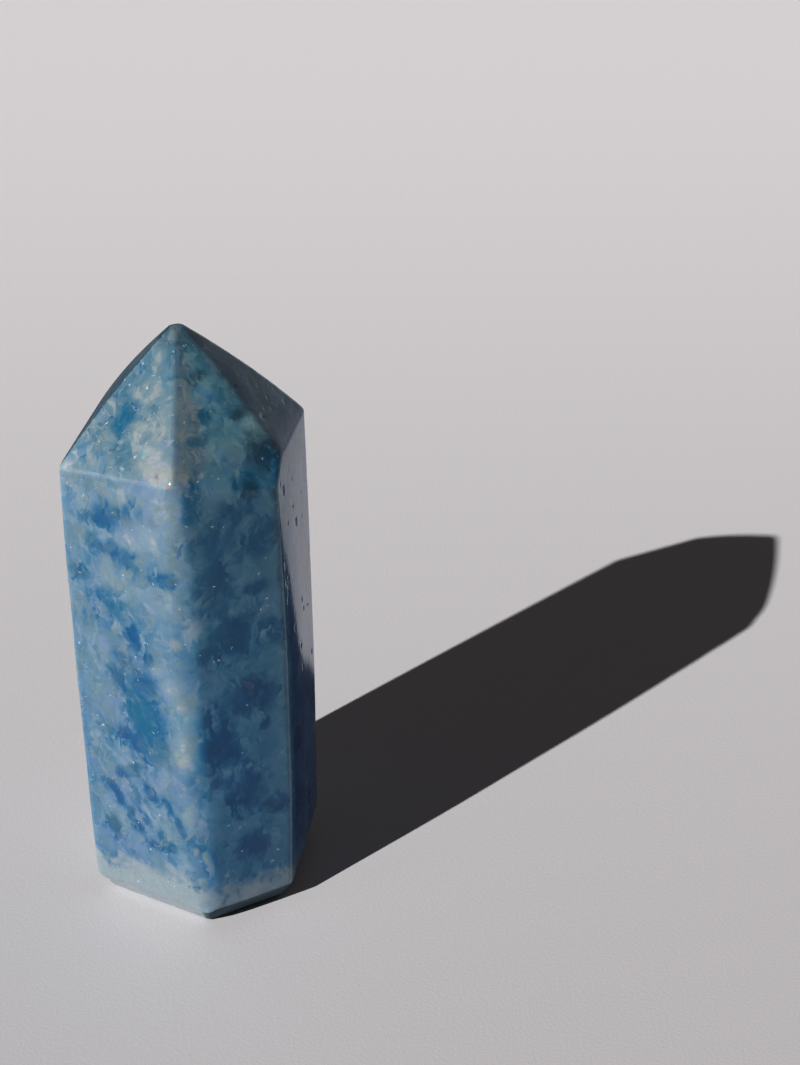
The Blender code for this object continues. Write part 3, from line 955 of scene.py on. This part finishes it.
class StageSettings(bpy.types.PropertyGroup):
    """The floor, the light and the camera."""

    # Painted light: the floor's colour is lighter behind than in front.
    floor: colour_property("Floor", "The floor's colour in front", tone(208, 205, 206))
    floor_far_painted_light: colour_property("Floor far", "The floor's colour behind", tone(240, 237, 238))
    floor_side: FloatProperty(name="Floor side", description="The side of the floor",
                              default=6.0, unit="LENGTH")
    key_strength: FloatProperty(name="Key", description="The strength of the main light",
                                default=3.75)
    key_softness: FloatProperty(name="Softness", description="The angle the main light fills",
                                default=math.radians(0.55), subtype="ANGLE")
    fill_strength: FloatProperty(name="Fill", description="The strength of the even light",
                                 default=0.026)
    glow_strength: FloatProperty(name="Glow", description="The strength of the glow at the "
                                 "back right", default=0.32)
    exposure: FloatProperty(name="Exposure", description="The picture's exposure", default=0.20)
    gamma: FloatProperty(name="Gamma", description="Below one, the shadows are deeper",
                         default=0.8)


# ---------------------------------------------------------------- operators

class STONE_OT_make_stone(bpy.types.Operator):
    """Grinds, chips and colours the stone"""

    bl_idname = "stone.make_stone"
    bl_label = "Make the stone"

    def execute(self, context):
        finish = context.scene.stone_finish
        stone = ground_block(finish.grain)
        centring = bow(stone.data)
        bpy.context.view_layer.update()
        carve(stone, LARGE_MARKS + tuple(small_marks()))
        paint(stone.data, centring)
        stone.data.materials.append(stone_material(context.scene.stone_colours, finish))
        bpy.ops.object.shade_smooth()
        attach(stone, "root")
        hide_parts(NODE)
        return {"FINISHED"}


# The camera's place, lens and turns, the main light's way and height, and the way to the glow.
CAMERA_PLACE = Vector((26.22 * MM, -268.25 * MM, 211.02 * MM))
CAMERA_PITCH = 30.89
CAMERA_ROLL = -0.62
LENS = 84.5
KEY_AZIMUTH = 43.0
KEY_HEIGHT = 33.7
GLOW_WAY = (0.64, 0.75, 0.15)


def add_camera():
    """The camera, looking down on the stone from the front."""
    camera = bpy.data.cameras.new("camera")
    camera.lens = LENS
    camera.clip_start = 10.0 * MM
    eye = bpy.data.objects.new("camera", camera)
    turn = Matrix.Rotation(math.radians(90.0 - CAMERA_PITCH), 4, "X")
    roll = Matrix.Rotation(math.radians(CAMERA_ROLL), 4, "Z")
    eye.matrix_world = Matrix.Translation(CAMERA_PLACE) @ turn @ roll
    bpy.context.scene.collection.objects.link(eye)
    bpy.context.scene.camera = eye


def add_key(settings):
    """The main light, from the front left."""
    lamp = bpy.data.lights.new("key", "SUN")
    lamp.energy = settings.key_strength
    lamp.angle = settings.key_softness
    light = bpy.data.objects.new("key", lamp)
    height = math.radians(KEY_HEIGHT)
    travel = outward(KEY_AZIMUTH) * math.cos(height) - UP * math.sin(height)
    light.rotation_euler = travel.to_track_quat("-Z", "Y").to_euler()
    bpy.context.scene.collection.objects.link(light)


def add_fill(settings):
    """A dim light from all round, with a soft glow low at the back right."""
    world = bpy.data.worlds.new("fill")
    world.use_nodes = True
    board = Board(world.node_tree)
    way = board.add("ShaderNodeTexCoord", output="Generated")
    towards = board.vector("DOT_PRODUCT", way, GLOW_WAY).output("Value")
    glow = board.step(towards, 0.55, 0.92) * settings.glow_strength
    shine = board.add("ShaderNodeBackground", {}, {
        "Color": (1.0, 0.93, 0.93, 1.0), "Strength": settings.fill_strength + glow})
    board.add("ShaderNodeOutputWorld", {}, {"Surface": shine}, output=None)
    bpy.context.scene.world = world


def floor_material(settings):
    """Plain matt paper, with painted light: a little lighter towards the back."""
    material, board = new_material("pale_floor")
    plain = board.scaled(board.add("ShaderNodeTexCoord", output="Object"), 1.0 / MM)
    grain = board.noise(plain, 2.2, 3.0, 0.6)
    relief = board.add("ShaderNodeBump", {}, {
        "Strength": 0.5, "Distance": 0.06 * MM, "Height": grain})
    # Painted light: the floor brightens towards the back.
    far = board.step(board.part(plain, 1), -150.0, 330.0)
    colour = board.blend(far, settings.floor, settings.floor_far_painted_light)
    board.add_output(principled(board, {
        "Base Color": colour, "Roughness": 0.85, "Normal": relief}))
    return material


def set_display(view, settings):
    """A plain display transform, with slightly deeper shadows."""
    view.view_transform = "Standard"
    view.exposure = settings.exposure
    view.gamma = settings.gamma


class STONE_OT_make_stage(bpy.types.Operator):
    """Sets the floor, the lights and the camera"""

    bl_idname = "stone.make_stage"
    bl_label = "Make the stage"

    def execute(self, context):
        settings = context.scene.stone_stage
        start_clean()
        bpy.ops.mesh.primitive_plane_add(size=settings.floor_side, location=(0.0, 0.0, 0.0))
        floor = context.object
        floor.name = "floor"
        floor.data.materials.append(floor_material(settings))
        add_key(settings)
        add_fill(settings)
        add_camera()
        set_display(context.scene.view_settings, settings)
        return {"FINISHED"}


class STONE_PT_panel(bpy.types.Panel):
    """The stone's settings and steps"""

    bl_idname = "STONE_PT_panel"
    bl_label = "Stone point"
    bl_space_type = "VIEW_3D"
    bl_region_type = "UI"
    bl_category = "Stone point"

    def draw(self, context):
        layout = self.layout
        for group, owner in (("Colours", context.scene.stone_colours),
                             ("Finish", context.scene.stone_finish),
                             ("Stage", context.scene.stone_stage)):
            box = layout.box()
            box.label(text=group)
            for name in owner.__annotations__:
                box.prop(owner, name)
        layout.operator(STONE_OT_make_stone.bl_idname)
        layout.operator(STONE_OT_make_stage.bl_idname)


CLASSES = (StoneColours, StoneFinish, StageSettings, STONE_OT_make_stone, STONE_OT_make_stage,
           STONE_PT_panel)


def register():
    for cls in CLASSES:
        bpy.utils.register_class(cls)
    bpy.types.Scene.stone_colours = PointerProperty(type=StoneColours)
    bpy.types.Scene.stone_finish = PointerProperty(type=StoneFinish)
    bpy.types.Scene.stone_stage = PointerProperty(type=StageSettings)


def unregister():
    del bpy.types.Scene.stone_stage
    del bpy.types.Scene.stone_finish
    del bpy.types.Scene.stone_colours
    for cls in reversed(CLASSES):
        bpy.utils.unregister_class(cls)


def main():
    register()
    bpy.ops.stone.make_stone()
    bpy.ops.stone.make_stage()


if __name__ == "__main__":
    main()
